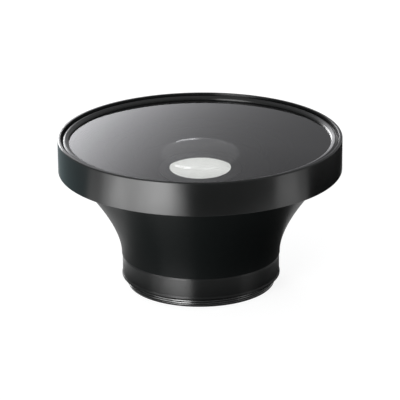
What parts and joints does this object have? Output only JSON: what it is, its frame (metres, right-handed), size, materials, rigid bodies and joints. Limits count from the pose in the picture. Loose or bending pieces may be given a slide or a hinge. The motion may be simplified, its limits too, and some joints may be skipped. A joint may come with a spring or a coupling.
{
  "type": "wide-angle conversion lens",
  "caption": "Trumpet-shaped wide-angle conversion lens: broad front glass in a turned rim, flared black barrel, narrow neck and male mounting thread at the rear.",
  "frame": {"origin": "centre of the end face of the rear mounting thread, on which the lens stands", "axes": "+Z along the optical axis from the mounting thread to the front glass; X and Y are equivalent"},
  "size_m": [0.105, 0.105, 0.0571],
  "materials": {
    "black_metal": "satin black anodised",
    "front_glass": "polished, coated",
    "rear_glass": "polished, coated",
    "baffle_black": "matt black",
    "soft_black": "matt black"
  },
  "bodies": {
    "root": {"mount_ring": "black_metal", "flared_barrel": "black_metal", "front_rim": "black_metal", "front_element": "front_glass", "cushion_ring": "soft_black", "front_retaining_ring": "black_metal", "rear_crown_lens": "rear_glass", "rear_flint_lens": "rear_glass", "rear_cell": "black_metal", "rear_retaining_ring": "black_metal", "light_baffle": "baffle_black"}
  },
  "joints": []
}
